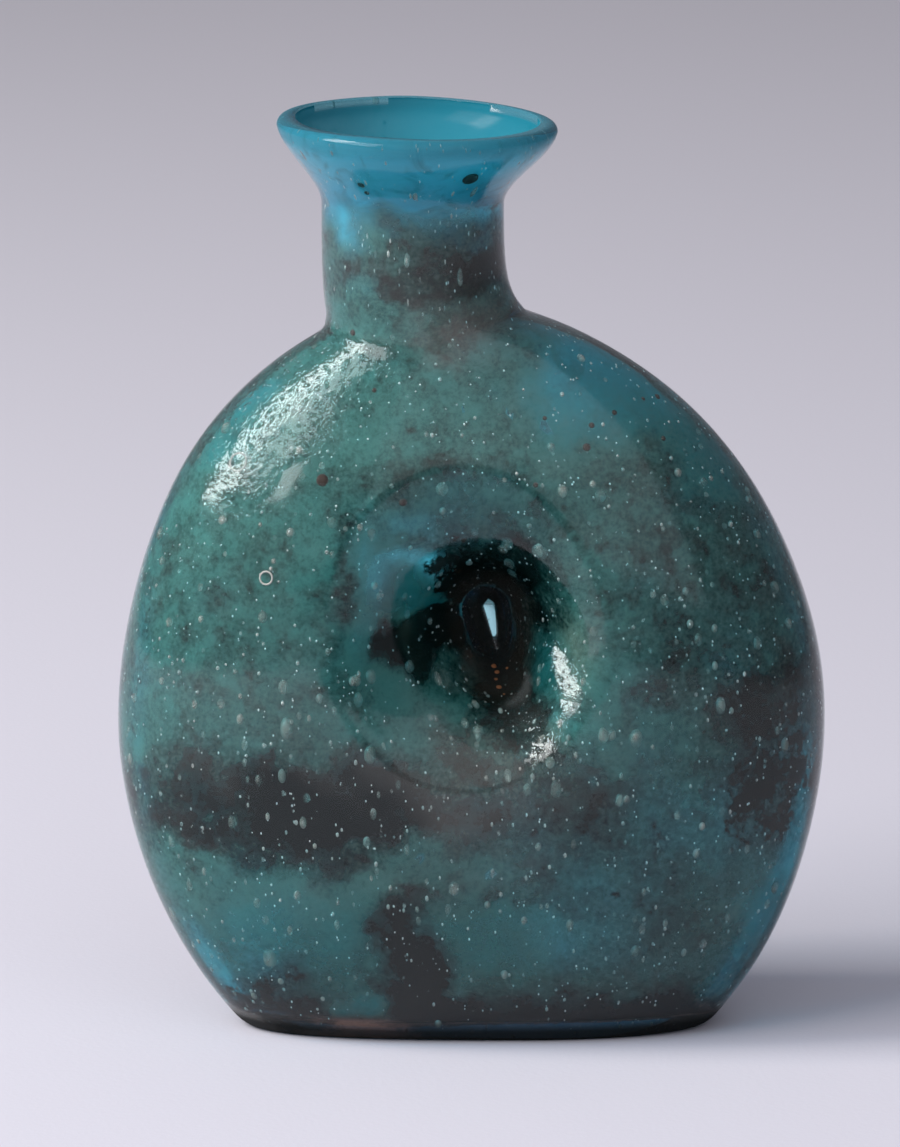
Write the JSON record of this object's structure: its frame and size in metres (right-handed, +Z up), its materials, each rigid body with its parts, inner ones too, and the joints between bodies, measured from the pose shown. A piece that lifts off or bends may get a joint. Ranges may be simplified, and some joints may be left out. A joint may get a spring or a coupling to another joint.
{
  "type": "glass perfume flask",
  "caption": "Small free-blown glass flask: flattened oval body with both faces pinched together in the middle, short straight neck and flared, rounded rim.",
  "frame": {"origin": "on the standing surface, under the middle of the body", "axes": "+Z up to the mouth, +Y to the back face, +X to the right as seen from the front"},
  "size_m": [0.0646, 0.0284, 0.0844],
  "materials": {
    "turquoise_glass": "clear blue-green glass full of seed bubbles, softly weathered outside, with dark earth stains on the inner wall"
  },
  "bodies": {
    "root": {"glass_flask": "turquoise_glass"}
  },
  "joints": []
}
